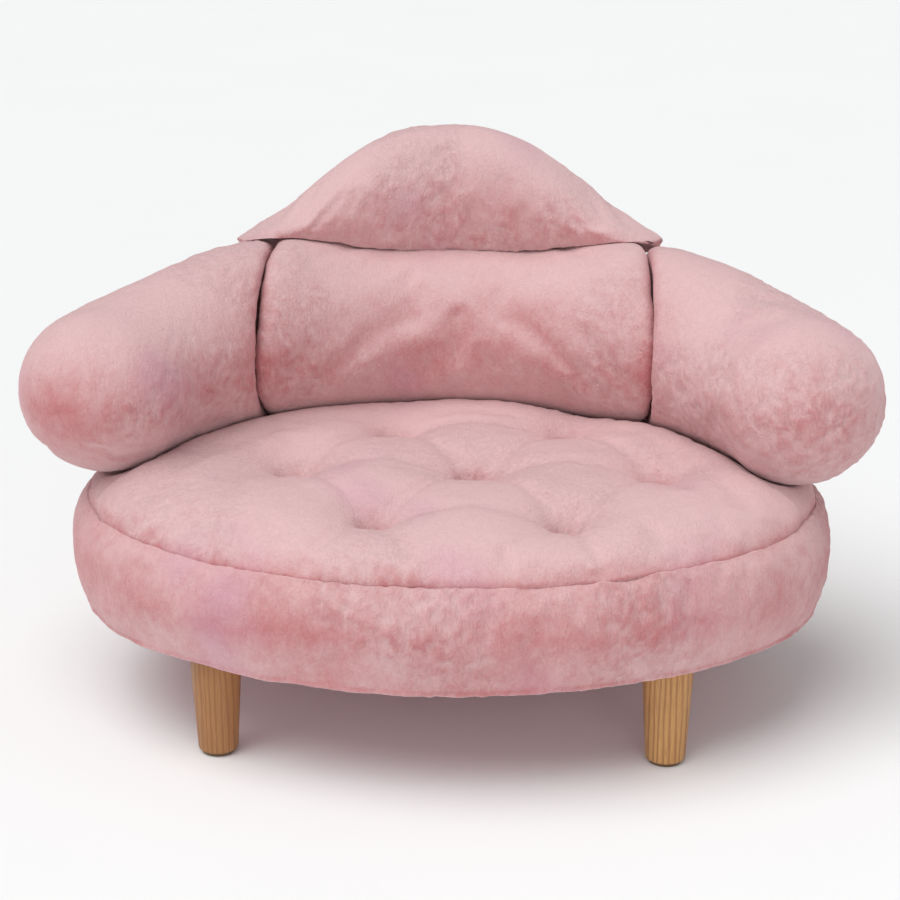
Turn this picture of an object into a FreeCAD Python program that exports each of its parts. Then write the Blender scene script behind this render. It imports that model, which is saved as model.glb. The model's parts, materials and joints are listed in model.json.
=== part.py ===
"""Plush pet sofa: an oval padded seat, a curved bolster with a raised back, and four screw-in wooden legs.

Lengths are in millimetres and angles in degrees. +X is the sofa's left-to-right as seen from the front,
+Y points to the back and +Z up. The origin is on the floor under the middle of the sofa.
"""
import FreeCAD
import Part
import os
import re
import Sketcher

SIZES = {
    # seat
    "seat_half_width": 316,
    "seat_half_depth": 242,
    "seat_end_drop": 37,
    "seat_bottom": 83,
    "seat_height": 125,
    "seat_top_round": 58,
    "seat_bottom_round": 20,
    "top_seam_drop": 32,
    "bottom_seam_rise": 7,
    "foam_inset": 16,
    "wadding_depth": 30,
    # cloth and clearances
    "fabric": 1.7,
    "soft_gap": 0.3,
    "wood_gap": 0.3,
    "fit_gap": 0.05,
    # base board
    "board_inset": 20,
    "board_lift": 5,
    "board_thickness": 12,
    # legs
    "leg_side_inset": 136,
    "leg_end_inset": 86,
    "leg_top_radius": 21,
    "leg_foot_radius": 16,
    "leg_foot_round": 2,
    "foot_pad_radius": 13,
    "foot_pad_thickness": 3,
    "leg_hole_gap": 1.5,
    "washer_radius": 9,
    "washer_thickness": 1,
    "bolt_radius": 4,
    "bolt_depth": 30,
    "nut_barrel_radius": 5.5,
    "nut_barrel_length": 9.5,
    "nut_flange_radius": 10,
    "nut_flange_thickness": 1.5,
    # bolster
    "roll_radius": 71.5,
    "roll_path_inset": 7,
    "roll_sink": 17.5,
    "roll_half_angle": 67.5,
    "band_end_inset": 153,
    # raised back
    "hump_half_angle": 48,
    "hump_foot_sink": 1.5,
    "hump_rise": 109,
    "hump_spread": 149,
    "hump_offset": 10,
    "hump_set_back": 28,
    "hump_half_thickness": 42,
    "hump_taper": 10,
    # backrest frame
    "post_width": 25,
    "back_post_angle": 18,
    "arm_post_angle": 58,
    "rail_drop": 12,
    "rail_thickness": 15,
    "rail_half_width": 30,
    "rail_half_angle": 63,
    "panel_half_width": 92,
    "panel_side_height": 104,
    "panel_crown": 44,
    "panel_set_back": 11.5,
    "panel_thickness": 12,
    # wood screws
    "screw_radius": 2,
    "screw_head_radius": 4,
    "screw_head_height": 2.5,
    "screw_length": 42,
    "post_screw_spread": 6,
    "panel_screw_spacing": 55,
    # tufting
    "tuft_middle": 22,
    "tuft_side_inset": 164,
    "tuft_front_inset": 94,
    "tuft_centre_row": -40,
    "tuft_back_inset": 180,
    "tuft_mouth_radius": 26,
    "tuft_tip_radius": 3,
    "tuft_depth": 16,
    "tie_radius": 1,
    "tie_hole_gap": 0.4,
    "tie_washer_radius": 9,
    "tie_washer_thickness": 1.2,
    # zip in the underside
    "zip_leg_gap": 40,
    "zip_row_inner": 0.6,
    "zip_row_width": 1.8,
    "zip_row_lift": 0.6,
    "zip_row_height": 1.8,
    "tape_width": 11.5,
    "tape_thickness": 0.6,
    "tape_overrun": 6,
    "zip_slot_half_width": 4.5,
    "stop_length": 2.5,
    "slider_half_width": 4,
    "slider_half_length": 6,
    "slider_plate": 1.1,
    "slider_rib": 0.6,
    "slider_end_gap": 12,
    "pull_drop": 2.6,
    "pull_ring_radius": 2,
    "pull_ring_thickness": 2,
    "pull_pin_radius": 0.9,
    "pull_arm_width": 1.6,
    "pull_thickness": 1.6,
    "pull_arm_length": 4,
    "pull_length": 24,
    "pull_half_width": 4,
}

SPAN = 2000
HALF_TURN = 3.141592653589793
HUMP_STATIONS = 5
XY, XZ, YZ = "XY_Plane", "XZ_Plane", "YZ_Plane"

doc = FreeCAD.newDocument("PetSofa")
sheet = doc.addObject("Spreadsheet::Sheet", "Sizes")
for row, (alias, number) in enumerate(SIZES.items(), 1):
    sheet.set(f"A{row}", alias.replace("_", " "))
    sheet.set(f"B{row}", str(number))
    sheet.setAlias(f"B{row}", alias)
doc.recompute()

BOARD_BOTTOM = "(seat_bottom + board_lift)"
BOARD_TOP = "(seat_bottom + board_lift + board_thickness)"
SEAT_TOP = "(seat_bottom + seat_height)"
SEAT_END = "(seat_half_depth - seat_end_drop)"
LEG_SIDE = "(seat_half_width - leg_side_inset)"
LEG_REACH = "(seat_half_depth - leg_end_inset)"
LEG_HOLE = "(leg_top_radius + leg_hole_gap)"
PATH_RADIUS = "(seat_half_width - roll_path_inset)"
ROLL_REACH = "(seat_half_depth - roll_radius)"
ROLL_AXIS_Y = f"({ROLL_REACH} - {PATH_RADIUS})"
ROLL_HEIGHT = f"({SEAT_TOP} + roll_radius - roll_sink)"
BAND_REACH = "(seat_half_width - band_end_inset)"
RAIL_BOTTOM = f"({ROLL_HEIGHT} - rail_drop)"
RAIL_TOP = f"({RAIL_BOTTOM} + rail_thickness)"
PANEL_FRONT = f"({ROLL_REACH} + panel_set_back)"
ZIP_HALF = f"({LEG_SIDE} - zip_leg_gap)"
SLIDER_REST = f"({ZIP_HALF} - slider_end_gap)"
ROW_BOTTOM = "(seat_bottom + zip_row_lift)"
PULL_AXIS = "(seat_bottom + zip_row_lift - soft_gap - slider_plate - pull_drop)"

parts = []


def vector(x, y, z):
    return FreeCAD.Vector(x, y, z)


def formula(text):
    """Turn each size's name into a reference to its cell."""
    return re.sub(r"[a-z][a-z_]*", lambda word: f"Sizes.{word[0]}" if word[0] in SIZES else word[0], text)


def value(text):
    return float(sheet.evalExpression(formula(text)))


def bind(obj, bound):
    """Set properties of an object from formulas."""
    for name, text in bound.items():
        obj.setExpression(name, formula(text))
    return obj


def place(obj, x="0", y="0", z="0", turn=None):
    """Place an object, turned about +Z."""
    bind(obj, {"Placement.Base.x": x, "Placement.Base.y": y, "Placement.Base.z": z})
    if turn:
        bind(obj, {"Placement.Rotation.Angle": turn})
    return obj


def node(obj, label):
    """Name an object as a finished sub-part."""
    obj.Label = label
    parts.append(obj)
    return obj


def cut(name, base, tool):
    obj = doc.addObject("Part::Cut", name)
    obj.Base = base
    obj.Tool = tool
    return obj


def joined(name, shapes):
    obj = doc.addObject("Part::MultiFuse", name)
    obj.Shapes = shapes
    return obj


def common(name, first, second):
    obj = doc.addObject("Part::MultiCommon", name)
    obj.Shapes = [first, second]
    return obj


def group(name, shapes):
    """Several separate solids that share one sub-part."""
    obj = doc.addObject("Part::Compound", name)
    obj.Links = shapes
    return obj


def box(name, x, y, z):
    """A block from its low and high formulas along each axis."""
    obj = doc.addObject("Part::Box", name)
    bind(obj, {"Length": f"{x[1]} - ({x[0]})", "Width": f"{y[1]} - ({y[0]})", "Height": f"{z[1]} - ({z[0]})"})
    return place(obj, x[0], y[0], z[0])


def cylinder(name, radius, low, high, x="0", y="0"):
    """An upright cylinder between two heights."""
    obj = doc.addObject("Part::Cylinder", name)
    bind(obj, {"Radius": radius, "Height": f"{high} - ({low})"})
    return place(obj, x, y, low)


def cone(name, low_radius, high_radius, low, high, x="0", y="0"):
    obj = doc.addObject("Part::Cone", name)
    bind(obj, {"Radius1": low_radius, "Radius2": high_radius, "Height": f"{high} - ({low})"})
    return place(obj, x, y, low)


def cross_pin(name, radius, half_length, x, y, z):
    """A cylinder that lies along Y."""
    obj = doc.addObject("Part::Cylinder", name)
    obj.Placement = FreeCAD.Placement(vector(0, 0, 0), FreeCAD.Rotation(vector(1, 0, 0), 90))
    bind(obj, {"Radius": radius, "Height": f"2 * ({half_length})"})
    return place(obj, x, f"{y} + {half_length}", z)


def attach(sketch, body, role):
    plane = next(item for item in body.Origin.OriginFeatures if item.Role == role)
    sketch.AttachmentSupport = [(plane, "")]
    sketch.MapMode = "FlatFace"


def dimension(sketch, kind, ends, text):
    """Add a driving dimension bound to a formula."""
    index = sketch.addConstraint(Sketcher.Constraint(kind, *ends, value(text)))
    sketch.setExpression(f"Constraints[{index}]", formula(text))


def edges_at(shape, height):
    """Names of the edges that lie flat at one height."""
    names = []
    for index, edge in enumerate(shape.Edges, 1):
        box_of_edge = edge.BoundBox
        if max(abs(box_of_edge.ZMin - height), abs(box_of_edge.ZMax - height)) < 0.001:
            names.append(f"Edge{index}")
    return names


def fillet(body, base, name, height, radius):
    doc.recompute()
    obj = body.newObject("PartDesign::Fillet", name)
    obj.Base = (base, edges_at(base.Shape, value(height)))
    return bind(obj, {"Radius": radius})


def oval_sketch(body, inset, height):
    """A four-centre oval, the seat's outline moved inwards by a formula."""
    sketch = body.newObject("Sketcher::SketchObject", body.Name + "Oval")
    attach(sketch, body, XY)
    bind(sketch, {"AttachmentOffset.Base.z": height})
    half_width, half_depth, end_radius = (f"{size} - ({inset})" for size in
                                          ("seat_half_width", "seat_half_depth", SEAT_END))
    reach = f"{half_width} - ({end_radius})"
    side_radius = (f"((({reach})^2 + ({half_depth})^2 - ({end_radius})^2)"
                   f" / (2 * ({half_depth} - ({end_radius}))))")
    centre_x, depth, small, large = value(reach), value(half_depth), value(end_radius), value(side_radius)
    meet = value(f"atan2({side_radius} - ({half_depth}); {reach})") * HALF_TURN / 180

    def arc(x, y, radius, start, end):
        circle = Part.Circle(vector(x, y, 0), vector(0, 0, 1), radius)
        return sketch.addGeometry(Part.ArcOfCircle(circle, start, end))

    arcs = [arc(centre_x, 0, small, -meet, meet),
            arc(0, depth - large, large, meet, HALF_TURN - meet),
            arc(-centre_x, 0, small, HALF_TURN - meet, HALF_TURN + meet),
            arc(0, large - depth, large, HALF_TURN + meet, 2 * HALF_TURN - meet)]
    for index, geometry in enumerate(arcs):
        sketch.addConstraint(Sketcher.Constraint("Tangent", geometry, 2, arcs[(index + 1) % 4], 1))
    for geometry in (arcs[0], arcs[2]):
        sketch.addConstraint(Sketcher.Constraint("PointOnObject", geometry, 3, -1))
        dimension(sketch, "Radius", (geometry,), end_radius)
    dimension(sketch, "DistanceX", (-1, 1, arcs[0], 3), reach)
    dimension(sketch, "DistanceX", (arcs[2], 3, -1, 1), reach)
    for geometry, ends, y in ((arcs[1], (-1, 1), depth), (arcs[3], None, -depth)):
        point = sketch.addGeometry(Part.Point(vector(0, y, 0)), True)
        sketch.addConstraint(Sketcher.Constraint("PointOnObject", point, 1, -2))
        sketch.addConstraint(Sketcher.Constraint("PointOnObject", point, 1, geometry))
        order = (*ends, point, 1) if ends else (point, 1, -1, 1)
        dimension(sketch, "DistanceY", order, half_depth)
    return sketch


def oval_slab(name, inset, low, high, rounds=None):
    """A flat oval block, with its lower and upper edges rounded if rounds are given."""
    body = doc.addObject("PartDesign::Body", name)
    sketch = oval_sketch(body, inset, low)
    pad = body.newObject("PartDesign::Pad", name + "Pad")
    pad.Profile = sketch
    bind(pad, {"Length": f"{high} - ({low})"})
    if rounds:
        lower = fillet(body, pad, name + "LowerRound", low, rounds[0])
        fillet(body, lower, name + "UpperRound", high, rounds[1])
    return body


def outline(sketch, points):
    """Close a polygon through points given as formulas."""
    corners = [vector(value(x), value(y), 0) for x, y in points]
    count = len(points)
    lines = [sketch.addGeometry(Part.LineSegment(corners[index], corners[(index + 1) % count]))
             for index in range(count)]
    for index, line in enumerate(lines):
        sketch.addConstraint(Sketcher.Constraint("Coincident", line, 2, lines[(index + 1) % count], 1))
    for line, (x, y) in zip(lines, points):
        if x == "0":
            sketch.addConstraint(Sketcher.Constraint("PointOnObject", line, 1, -2))
        else:
            dimension(sketch, "DistanceX", (-1, 1, line, 1), x)
        if y == "0":
            sketch.addConstraint(Sketcher.Constraint("PointOnObject", line, 1, -1))
        else:
            dimension(sketch, "DistanceY", (-1, 1, line, 1), y)


def turned(name, points, x="0", y="0"):
    """A piece turned about its upright axis from a half section."""
    body = doc.addObject("PartDesign::Body", name)
    sketch = body.newObject("Sketcher::SketchObject", name + "Section")
    attach(sketch, body, XZ)
    outline(sketch, points)
    revolution = body.newObject("PartDesign::Revolution", name + "Turn")
    revolution.Profile = sketch
    revolution.ReferenceAxis = (sketch, ["V_Axis"])
    place(body, x, y)
    return body, revolution


def on_roll_path(angle):
    """Where the roll's path is, at an angle from straight back."""
    return f"{PATH_RADIUS} * sin({angle})", f"{ROLL_AXIS_Y} + {PATH_RADIUS} * cos({angle})"


def roll_end(name, radius, side):
    """The rounded end of the left or right arm."""
    obj = doc.addObject("Part::Sphere", name)
    bind(obj, {"Radius": radius})
    obj.Angle3 = 180
    x, y = on_roll_path("roll_half_angle")
    turns = {"left": (f"-{x}", "90 + roll_half_angle"), "right": (x, "270 - roll_half_angle")}
    return place(obj, turns[side][0], y, ROLL_HEIGHT, turns[side][1])


def whole_roll(name, radius):
    """The bolster's whole outer shape, both arms and the back band."""
    middle = doc.addObject("Part::Torus", name + "Middle")
    bind(middle, {"Radius1": PATH_RADIUS, "Radius2": radius, "Angle3": "2 * roll_half_angle"})
    place(middle, "0", ROLL_AXIS_Y, ROLL_HEIGHT, "90 - roll_half_angle")
    return joined(name, [middle, roll_end(name + "LeftEnd", radius, "left"),
                         roll_end(name + "RightEnd", radius, "right")])


def roll_stretch(name, radius, side):
    """The left arm, the right arm or the band between their seams."""
    spans = {"left": (f"-{SPAN} / 2", f"-({BAND_REACH} + soft_gap / 2)"),
             "right": (f"{BAND_REACH} + soft_gap / 2", f"{SPAN} / 2"),
             "middle": (f"-({BAND_REACH} - soft_gap / 2)", f"{BAND_REACH} - soft_gap / 2")}
    wide = (f"-{SPAN} / 2", f"{SPAN} / 2")
    return common(name, whole_roll(name + "Whole", radius), box(name + "Span", spans[side], wide, wide))


def arch(sketch, middle, spring, half, shell=None):
    """An upright with a round top, closed below, or a skin of that shape when a thickness is given."""
    low, top = value(ROLL_HEIGHT), value(spring)
    centre, outer = value(middle), value(half)
    inner = outer - value(shell) if shell else 0

    def line(start, end):
        return sketch.addGeometry(Part.LineSegment(vector(*start, 0), vector(*end, 0)))

    def crown(radius):
        circle = Part.Circle(vector(centre, top, 0), vector(0, 0, 1), radius)
        return sketch.addGeometry(Part.ArcOfCircle(circle, 0, HALF_TURN))

    rise, over = line((centre + outer, low), (centre + outer, top)), crown(outer)
    fall = line((centre - outer, top), (centre - outer, low))
    uprights, floors = [rise, fall], []
    tangents, corners = [(rise, 2, over, 1), (over, 2, fall, 1)], []
    if shell:
        near_floor = line((centre - outer, low), (centre - inner, low))
        inner_rise, under = line((centre - inner, low), (centre - inner, top)), crown(inner)
        inner_fall = line((centre + inner, top), (centre + inner, low))
        far_floor = line((centre + inner, low), (centre + outer, low))
        uprights += [inner_rise, inner_fall]
        floors += [near_floor, far_floor]
        tangents += [(inner_rise, 2, under, 2), (under, 1, inner_fall, 1)]
        corners += [(fall, 2, near_floor, 1), (near_floor, 2, inner_rise, 1), (inner_fall, 2, far_floor, 1),
                    (far_floor, 2, rise, 1), (over, 3, under, 3)]
    else:
        floors.append(line((centre - outer, low), (centre + outer, low)))
        corners += [(fall, 2, floors[0], 1), (floors[0], 2, rise, 1)]
    for kind, pairs in (("Tangent", tangents), ("Coincident", corners)):
        for pair in pairs:
            sketch.addConstraint(Sketcher.Constraint(kind, *pair))
    for kind, lines in (("Vertical", uprights), ("Horizontal", floors)):
        for geometry in lines:
            sketch.addConstraint(Sketcher.Constraint(kind, geometry))
    dimension(sketch, "Radius", (over,), half)
    dimension(sketch, "DistanceX", (-1, 1, over, 3), middle)
    dimension(sketch, "DistanceY", (-1, 1, over, 3), spring)
    dimension(sketch, "DistanceY", (-1, 1, rise, 1), ROLL_HEIGHT)
    if shell:
        dimension(sketch, "Radius", (under,), f"{half} - ({shell})")
        dimension(sketch, "DistanceY", (-1, 1, fall, 2), ROLL_HEIGHT)


def hump(name, inset, shell=None):
    """The raised back: round-topped sections that stand along the roll's path and peak in the middle."""
    body = doc.addObject("PartDesign::Body", name)
    sketches = []
    for station in range(-HUMP_STATIONS, HUMP_STATIONS + 1):
        angle = f"(hump_half_angle * {station} / {HUMP_STATIONS})"
        across = f"({PATH_RADIUS} * sin{angle} + hump_offset)"
        foot = f"({ROLL_HEIGHT} + roll_radius - hump_foot_sink)"
        crest = f"({foot} + hump_rise * exp(-((abs({across}) / hump_spread)^3)) - ({inset}))"
        half = f"(hump_half_thickness - hump_taper * {abs(station)} / {HUMP_STATIONS} - ({inset}))"
        sketch = body.newObject("Sketcher::SketchObject", f"{name}Section{station + HUMP_STATIONS}")
        attach(sketch, body, YZ)
        sketch.AttachmentOffset = FreeCAD.Placement(vector(0, 0, 0), FreeCAD.Rotation(vector(0, 1, 0), 10))
        bind(sketch, {"AttachmentOffset.Base.x": ROLL_AXIS_Y,
                      "AttachmentOffset.Rotation.Angle": f"360 - {angle}"})
        arch(sketch, f"({PATH_RADIUS} + hump_set_back)", f"{crest} - {half}", half, shell)
        sketches.append(sketch)
    loft = body.newObject("PartDesign::AdditiveLoft", name + "Loft")
    loft.Profile = sketches[0]
    loft.Sections = sketches[1:]
    return body


def screw(name, x, y, head, up, gap="0"):
    """A countersunk wood screw that runs up or down from its head's face."""
    shank, wide = f"screw_radius + {gap}", f"screw_head_radius + {gap}"
    if up:
        head_shape = cone(name + "Head", wide, shank, head, f"{head} + screw_head_height", x, y)
        body = cylinder(name + "Shank", shank, head, f"{head} + screw_length + {gap}", x, y)
    else:
        head_shape = cone(name + "Head", shank, wide, f"{head} - screw_head_height", head, x, y)
        body = cylinder(name + "Shank", shank, f"{head} - screw_length - {gap}", head, x, y)
    return joined(name, [head_shape, body])


def screws(name, spots, head, up):
    """A set of screws and the holes that they need."""
    solids = [screw(f"{name}{index}", x, y, head, up) for index, (x, y) in enumerate(spots)]
    holes = [screw(f"{name}Hole{index}", x, y, head, up, "fit_gap") for index, (x, y) in enumerate(spots)]
    return group(name, solids), joined(name + "Holes", holes)


# ---- places that repeat ----

LEGS = {f"{end}_{side}": (f"{sign_x}{LEG_SIDE}", f"{sign_y}{LEG_REACH}")
        for end, sign_y in (("front", "-"), ("rear", "")) for side, sign_x in (("left", "-"), ("right", ""))}
POSTS = {"arm_left": "-arm_post_angle", "back_left": "-back_post_angle",
         "back_right": "back_post_angle", "arm_right": "arm_post_angle"}
TUFT_ROWS = {"tuft_front_inset - seat_half_depth": (-0.5, 0.5), "tuft_centre_row": (-1, 0, 1),
             "seat_half_depth - tuft_back_inset": (-0.5, 0.5)}
TUFTS = [(f"tuft_middle + {step} * (seat_half_width - tuft_side_inset)", row)
         for row, steps in TUFT_ROWS.items() for step in steps]
PANEL_MIDDLE = f"{PANEL_FRONT} + panel_thickness / 2"

# ---- fasteners and their holes ----

post_screw_spots = []
for angle in POSTS.values():
    for side in ("-", "+"):
        reach = f"({PATH_RADIUS} {side} post_screw_spread)"
        post_screw_spots.append((f"{reach} * sin({angle})", f"{ROLL_AXIS_Y} + {reach} * cos({angle})"))
post_screws, post_screw_holes = screws("PostScrews", post_screw_spots, BOARD_BOTTOM, True)
rail_screws, rail_screw_holes = screws("RailScrews", [on_roll_path(angle) for angle in POSTS.values()],
                                       RAIL_TOP, False)
panel_screws, panel_screw_holes = screws("PanelScrews", [(f"{step} * panel_screw_spacing", PANEL_MIDDLE)
                                                         for step in (-1, 0, 1)], RAIL_BOTTOM, True)

# ---- base board with the leg nuts ----

NUT_TOP = BOARD_TOP
NUT_SEAT = f"({BOARD_TOP} - nut_flange_thickness)"
NUT_BOTTOM = f"({BOARD_TOP} - nut_flange_thickness - nut_barrel_length)"


def nut_section(low, gap):
    """Half section of a tee nut's outside, or of its hole, from a height up to the board's top."""
    barrel, flange = f"nut_barrel_radius + {gap}", f"nut_flange_radius + {gap}"
    return [("0", low), (barrel, low), (barrel, NUT_SEAT), (flange, NUT_SEAT), (flange, NUT_TOP),
            ("0", NUT_TOP)]


board_holes = [post_screw_holes]
tee_nuts = []
for name, (x, y) in LEGS.items():
    blank = turned(f"NutBlank_{name}", nut_section(NUT_BOTTOM, "0"), x, y)[0]
    bore = cylinder(f"NutBore_{name}", "bolt_radius + fit_gap", NUT_BOTTOM, NUT_TOP, x, y)
    tee_nuts.append(cut(f"TeeNut_{name}", blank, bore))
    board_holes.append(turned(f"NutHole_{name}", nut_section(BOARD_BOTTOM, "fit_gap"), x, y)[0])
for index, (x, y) in enumerate(TUFTS):
    board_holes.append(cylinder(f"TieHole{index}", "tie_radius + tie_hole_gap", BOARD_BOTTOM, BOARD_TOP,
                                x, y))
board = oval_slab("BoardBlank", "board_inset", BOARD_BOTTOM, BOARD_TOP)
node(cut("BaseBoard", board, joined("BoardHoles", board_holes)), "base_board")
node(group("TeeNuts", tee_nuts), "leg_tee_nuts")
node(post_screws, "post_screws")

# ---- legs ----

LEG_TOP = f"({BOARD_BOTTOM} - washer_thickness)"
for name, (x, y) in LEGS.items():
    bore = "bolt_radius + fit_gap"
    bore_end = f"{LEG_TOP} - bolt_depth"
    section = [("0", "foot_pad_thickness"), ("leg_foot_radius", "foot_pad_thickness"),
               ("leg_top_radius", LEG_TOP), (bore, LEG_TOP), (bore, bore_end), ("0", bore_end)]
    leg, leg_turn = turned(f"Leg_{name}", section, x, y)
    fillet(leg, leg_turn, f"LegRound_{name}", "foot_pad_thickness", "leg_foot_round")
    node(leg, f"leg_{name}")
    node(cylinder(f"LegBolt_{name}", "bolt_radius", bore_end, f"{NUT_TOP} - soft_gap", x, y),
         f"leg_bolt_{name}")
    node(cylinder(f"FootPad_{name}", "foot_pad_radius", "0", "foot_pad_thickness", x, y), f"foot_pad_{name}")
    node(turned(f"LegWasher_{name}", [(bore, LEG_TOP), ("washer_radius", LEG_TOP),
                                      ("washer_radius", BOARD_BOTTOM), (bore, BOARD_BOTTOM)], x, y)[0],
         f"leg_washer_{name}")

# ---- backrest frame ----


def post(name, angle, gap="0", low=BOARD_TOP, high=RAIL_BOTTOM):
    """A square upright that faces along the roll's path."""
    obj = doc.addObject("Part::Prism", name)
    obj.Polygon = 4
    bind(obj, {"Circumradius": f"(post_width / 2 + {gap}) * sqrt(2)", "Height": f"{high} - ({low})"})
    x, y = on_roll_path(angle)
    return place(obj, x, y, low, f"45 + 360 - ({angle})")


def rail(name, gap="0"):
    """A flat curved rail that follows the roll's path."""
    outer = doc.addObject("Part::Cylinder", name + "Outer")
    bind(outer, {"Radius": f"{PATH_RADIUS} + rail_half_width + {gap}",
                 "Height": f"rail_thickness + 2 * {gap}", "Angle": f"2 * rail_half_angle + {gap}"})
    place(outer, "0", ROLL_AXIS_Y, f"{RAIL_BOTTOM} - {gap}", f"90 - rail_half_angle - {gap} / 2")
    inner = cylinder(name + "Inner", f"{PATH_RADIUS} - rail_half_width - {gap}", f"{RAIL_BOTTOM} - fabric",
                     f"{RAIL_TOP} + fabric", "0", ROLL_AXIS_Y)
    return cut(name, outer, inner)


def back_panel(name, gap="0"):
    """The upright board inside the raised back, with a curved top."""
    body = doc.addObject("PartDesign::Body", name)
    sketch = body.newObject("Sketcher::SketchObject", name + "Outline")
    attach(sketch, body, XZ)
    bind(sketch, {"AttachmentOffset.Base.z": f"-({PANEL_FRONT} + panel_thickness + {gap})"})
    side_height = f"{RAIL_TOP} + panel_side_height"
    half, low = value(f"panel_half_width + {gap}"), value(f"{RAIL_TOP} - {gap}")
    side, top = value(side_height), value(f"{side_height} + panel_crown + {gap}")
    corners = [vector(-half, side, 0), vector(-half, low, 0), vector(half, low, 0), vector(half, side, 0)]
    lines = [sketch.addGeometry(Part.LineSegment(corners[index], corners[index + 1])) for index in range(3)]
    crown = sketch.addGeometry(Part.Arc(corners[3], vector(0, top, 0), corners[0]))
    for first, second in zip(lines + [crown], lines[1:] + [crown, lines[0]]):
        sketch.addConstraint(Sketcher.Constraint("Coincident", first, 2, second, 1))
    dimension(sketch, "DistanceX", (-1, 1, lines[1], 2), f"panel_half_width + {gap}")
    dimension(sketch, "DistanceX", (lines[1], 1, -1, 1), f"panel_half_width + {gap}")
    dimension(sketch, "DistanceY", (-1, 1, lines[1], 1), f"{RAIL_TOP} - {gap}")
    sketch.addConstraint(Sketcher.Constraint("Horizontal", lines[1]))
    for line in (lines[0], lines[2]):
        sketch.addConstraint(Sketcher.Constraint("Vertical", line))
    dimension(sketch, "DistanceY", (-1, 1, lines[0], 1), side_height)
    dimension(sketch, "DistanceY", (-1, 1, lines[2], 2), side_height)
    peak = sketch.addGeometry(Part.Point(vector(0, top, 0)), True)
    sketch.addConstraint(Sketcher.Constraint("PointOnObject", peak, 1, -2))
    sketch.addConstraint(Sketcher.Constraint("PointOnObject", peak, 1, crown))
    dimension(sketch, "DistanceY", (-1, 1, peak, 1), f"{side_height} + panel_crown + {gap}")
    pad = body.newObject("PartDesign::Pad", name + "Pad")
    pad.Profile = sketch
    bind(pad, {"Length": f"panel_thickness + 2 * {gap}"})
    return body


for name, angle in POSTS.items():
    blank = post(f"PostBlank_{name}", angle)
    holed = cut(f"PostHoled_{name}", blank, post_screw_holes)
    node(cut(f"Post_{name}", holed, rail_screw_holes), f"post_{name}")
rail_holes = joined("RailHoles", [rail_screw_holes, panel_screw_holes])
node(cut("BolsterRail", rail("RailBlank"), rail_holes), "bolster_rail")
node(cut("BackPanel", back_panel("PanelBlank"), panel_screw_holes), "back_panel")
node(rail_screws, "rail_screws")
node(panel_screws, "panel_screws")

frame_void = joined("FrameVoid", [post(f"PostVoid_{name}", angle, "wood_gap", BOARD_BOTTOM, RAIL_TOP)
                                  for name, angle in POSTS.items()]
                    + [rail("RailVoid", "wood_gap"), back_panel("PanelVoid", "wood_gap")])

# ---- seat ----


def level(name, low, high):
    """Everything between two heights."""
    return box(name, (f"-{SPAN} / 2", f"{SPAN} / 2"), (f"-{SPAN} / 2", f"{SPAN} / 2"), (low, high))


def seat_solid(name, inset, roll_clearance):
    """The seat's shape moved inwards, with the bolster's bed and the tuft dimples pressed into it."""
    slab = oval_slab(name + "Slab", inset, f"seat_bottom + {inset}", f"{SEAT_TOP} - ({inset})",
                     (f"seat_bottom_round - ({inset})", f"seat_top_round - ({inset})"))
    dimples = [cone(f"{name}Dimple{index}", f"tuft_tip_radius + {inset}", f"tuft_mouth_radius + {inset}",
                    f"{SEAT_TOP} - tuft_depth - ({inset})", SEAT_TOP, x, y)
               for index, (x, y) in enumerate(TUFTS)]
    bed = common(name + "Bed", whole_roll(name + "Roll", f"roll_radius + {roll_clearance}"),
                 level(name + "BedLevel", "seat_bottom", f"{SEAT_TOP} + fabric"))
    return cut(name, cut(name + "Bedded", slab, bed), joined(name + "Dimples", dimples))


TOP_SEAM = f"({SEAT_TOP} - top_seam_drop)"
BOTTOM_SEAM = "(seat_bottom + bottom_seam_rise)"
cover_outside = seat_solid("CoverOutside", "0", "soft_gap")
cover_inside = seat_solid("CoverInside", "fabric", "soft_gap + fabric")
filling = seat_solid("Filling", "(fabric + soft_gap)", "soft_gap + fabric + soft_gap")
seat_cover = cut("SeatCover", cover_outside, cover_inside)

top_cover = common("TopCoverWhole", seat_cover, level("AboveTopSeam", f"{TOP_SEAM} + soft_gap / 2", SEAT_TOP))
node(cut("TopCover", top_cover, frame_void), "seat_top_cover")
node(common("SideBand", seat_cover, level("BetweenSeams", f"{BOTTOM_SEAM} + soft_gap / 2",
                                          f"{TOP_SEAM} - soft_gap / 2")), "seat_side_band")
panel_openings = [cylinder(f"LegOpening_{name}", LEG_HOLE, "seat_bottom - fabric", BOARD_BOTTOM, x, y)
                  for name, (x, y) in LEGS.items()]
panel_openings.append(box("ZipSlot", (f"-({ZIP_HALF} + stop_length)", f"{ZIP_HALF} + stop_length"),
                          (f"{LEG_REACH} - zip_slot_half_width", f"{LEG_REACH} + zip_slot_half_width"),
                          ("seat_bottom - fabric", BOARD_BOTTOM)))
underside = common("UndersideWhole", seat_cover, level("BelowBottomSeam", "seat_bottom",
                                                       f"{BOTTOM_SEAM} - soft_gap / 2"))
node(cut("Underside", underside, joined("UndersideOpenings", panel_openings)), "underside_panel")

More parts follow.
